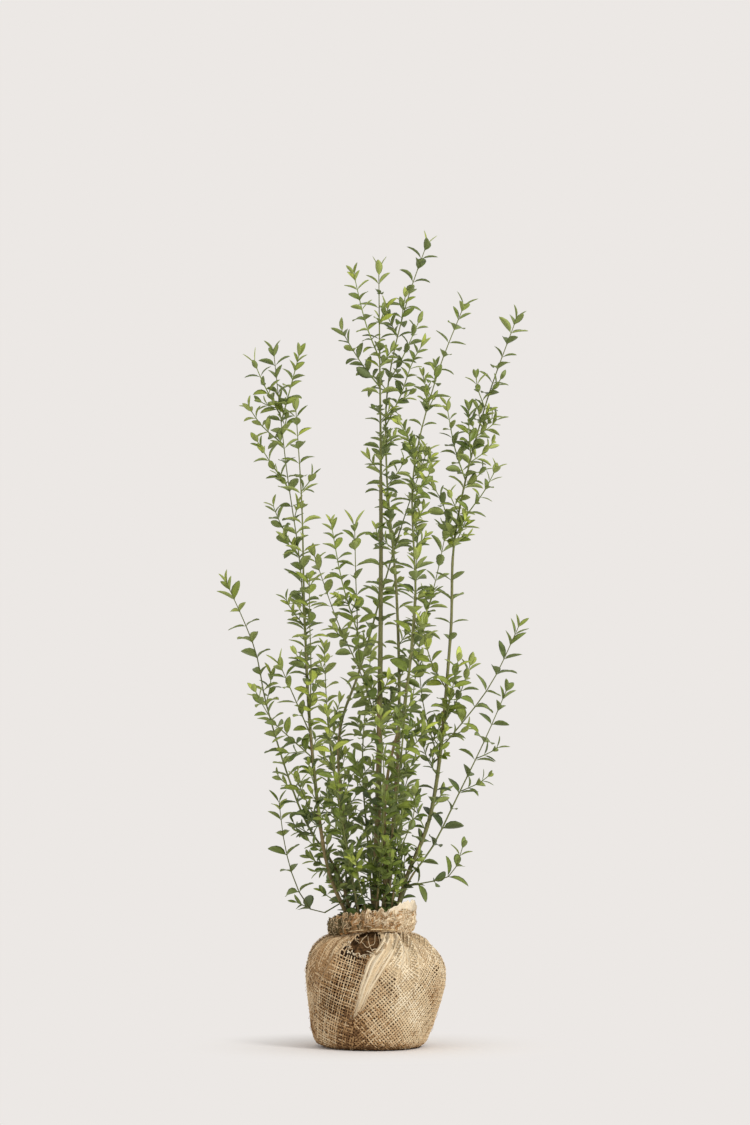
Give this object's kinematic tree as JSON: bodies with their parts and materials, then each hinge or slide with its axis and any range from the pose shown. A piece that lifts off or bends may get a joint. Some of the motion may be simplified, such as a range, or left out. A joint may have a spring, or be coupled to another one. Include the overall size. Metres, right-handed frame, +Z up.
{
  "type": "sapling with root ball",
  "caption": "Young upright hedging shrub with many slender leafy stems rising from a root ball wrapped in burlap, standing on its flat underside.",
  "frame": {"origin": "middle of the root ball's flat underside", "axes": "+Z up along the trunk, +X to the right of the front view, -Y towards the viewer in front"},
  "size_m": [0.5503, 0.4372, 1.4296],
  "materials": {
    "burlap": "matte",
    "burlap_dark": "matte",
    "burlap_pale": "matte",
    "twine": "matte",
    "soil": "matte",
    "bark": "matte",
    "leaves": "satin"
  },
  "bodies": {
    "root": {"burlap_wrap": "burlap", "soil": "soil", "burlap_collar": "burlap_dark", "neck_twine": "twine", "burlap_flap": "burlap_pale", "trunk": "bark", "stem_left": "bark", "stem_back_centre": "bark", "stem_inner_right": "bark", "stem_crossing": "bark", "stem_right": "bark", "stem_far_left": "bark", "stem_low_right": "bark", "stem_low_left": "bark", "stem_front_foot": "bark", "stem_front": "bark", "stem_front_left": "bark", "stem_front_right": "bark", "stem_front_tall": "bark", "stem_back": "bark", "stem_back_left": "bark", "stem_back_right": "bark", "trunk_leaves": "leaves", "stem_left_leaves": "leaves", "stem_back_centre_leaves": "leaves", "stem_inner_right_leaves": "leaves", "stem_crossing_leaves": "leaves", "stem_right_leaves": "leaves", "stem_far_left_leaves": "leaves", "stem_low_right_leaves": "leaves", "stem_low_left_leaves": "leaves", "stem_front_foot_leaves": "leaves", "stem_front_leaves": "leaves", "stem_front_left_leaves": "leaves", "stem_front_right_leaves": "leaves", "stem_front_tall_leaves": "leaves", "stem_back_leaves": "leaves", "stem_back_left_leaves": "leaves", "stem_back_right_leaves": "leaves", "shoot_upper_left_leaves": "leaves", "shoot_right_of_trunk_leaves": "leaves", "shoot_left_of_trunk_leaves": "leaves", "shoot_mid_left_leaves": "leaves", "shoot_left_high_leaves": "leaves", "shoot_left_mid_leaves": "leaves", "shoot_left_low_leaves": "leaves", "shoot_left_front_leaves": "leaves", "shoot_right_wide_leaves": "leaves", "shoot_right_foot_leaves": "leaves", "shoot_right_inner_leaves": "leaves", "shoot_right_back_leaves": "leaves", "shoot_right_front_leaves": "leaves", "shoot_right_rear_leaves": "leaves", "shoot_centre_right_leaves": "leaves", "shoot_centre_low_leaves": "leaves", "shoot_back_low_leaves": "leaves"}
  },
  "joints": []
}
